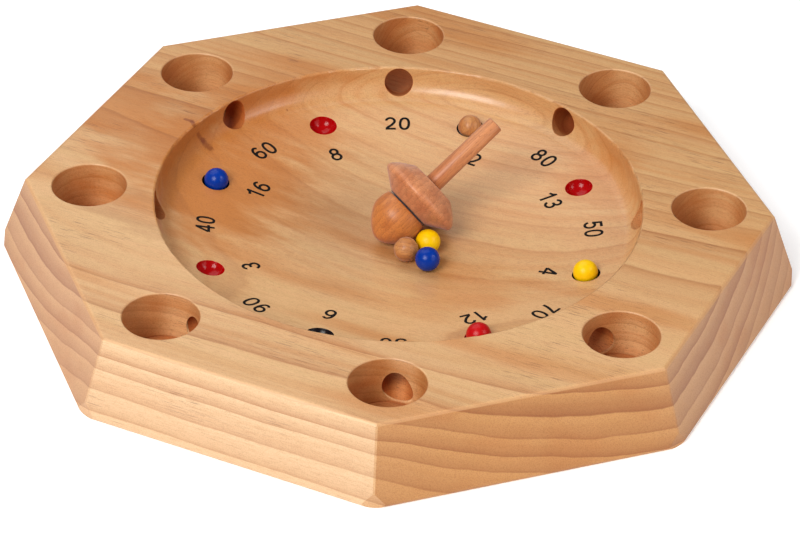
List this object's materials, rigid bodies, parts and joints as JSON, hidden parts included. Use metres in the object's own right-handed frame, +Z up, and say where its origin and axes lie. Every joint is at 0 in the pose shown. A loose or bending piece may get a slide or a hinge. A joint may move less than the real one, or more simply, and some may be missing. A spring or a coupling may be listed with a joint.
{
  "type": "spinning top board game",
  "caption": "Octagonal pine board with a round bowl, tunnels to corner pockets and numbered recesses, with a turned spinning top and small wooden balls.",
  "frame": {"origin": "middle of the board's flat underside", "axes": "+Z up out of the bowl, +X to the right and -Y towards the front corner of the octagon"},
  "size_m": [0.32, 0.32, 0.0552],
  "materials": {
    "board_pine": "satin",
    "stem_beech": "satin",
    "disk_beech": "satin",
    "bulb_beech": "satin",
    "natural_at_2": "satin",
    "yellow_at_4": "gloss lacquer",
    "red_at_12": "gloss lacquer",
    "blue_at_16": "gloss lacquer",
    "yellow_loose": "gloss lacquer",
    "blue_loose": "gloss lacquer",
    "natural_loose": "satin",
    "recess_red": "gloss lacquer",
    "recess_black": "gloss lacquer",
    "numeral_ink": "printed ink"
  },
  "bodies": {
    "board": {"board": "board_pine"},
    "spinning_top": {"top_stem": "stem_beech", "top_disk": "disk_beech", "top_bulb": "bulb_beech"},
    "ball_natural_at_2": {"ball_natural_at_2": "natural_at_2"},
    "ball_yellow_at_4": {"ball_yellow_at_4": "yellow_at_4"},
    "ball_red_at_12": {"ball_red_at_12": "red_at_12"},
    "ball_blue_at_16": {"ball_blue_at_16": "blue_at_16"},
    "ball_yellow_loose": {"ball_yellow_loose": "yellow_loose"},
    "ball_blue_loose": {"ball_blue_loose": "blue_loose"},
    "ball_natural_loose": {"ball_natural_loose": "natural_loose"}
  },
  "joints": [
    {"name": "top_spin", "type": "hinge", "parent": "board", "child": "spinning_top", "pos_m": [0.00338, 0.00344, 0.02421], "axis": [0.6866, 0.4467, 0.5736], "continuous": true},
    {"name": "ball_natural_at_2_lift", "type": "slide", "parent": "board", "child": "ball_natural_at_2", "axis": [0, 0, 1], "range_m": [0, 0.06]},
    {"name": "ball_yellow_at_4_lift", "type": "slide", "parent": "board", "child": "ball_yellow_at_4", "axis": [0, 0, 1], "range_m": [0, 0.06]},
    {"name": "ball_red_at_12_lift", "type": "slide", "parent": "board", "child": "ball_red_at_12", "axis": [0, 0, 1], "range_m": [0, 0.06]},
    {"name": "ball_blue_at_16_lift", "type": "slide", "parent": "board", "child": "ball_blue_at_16", "axis": [0, 0, 1], "range_m": [0, 0.06]},
    {"name": "ball_yellow_loose_lift", "type": "slide", "parent": "board", "child": "ball_yellow_loose", "axis": [0.6275, -0.5265, 0.5736], "range_m": [0, 0.06]},
    {"name": "ball_blue_loose_lift", "type": "slide", "parent": "board", "child": "ball_blue_loose", "axis": [-0.0594, -0.3368, 0.9397], "range_m": [0, 0.06]},
    {"name": "ball_natural_loose_lift", "type": "slide", "parent": "board", "child": "ball_natural_loose", "axis": [-0.25, -0.433, 0.866], "range_m": [0, 0.06]}
  ]
}
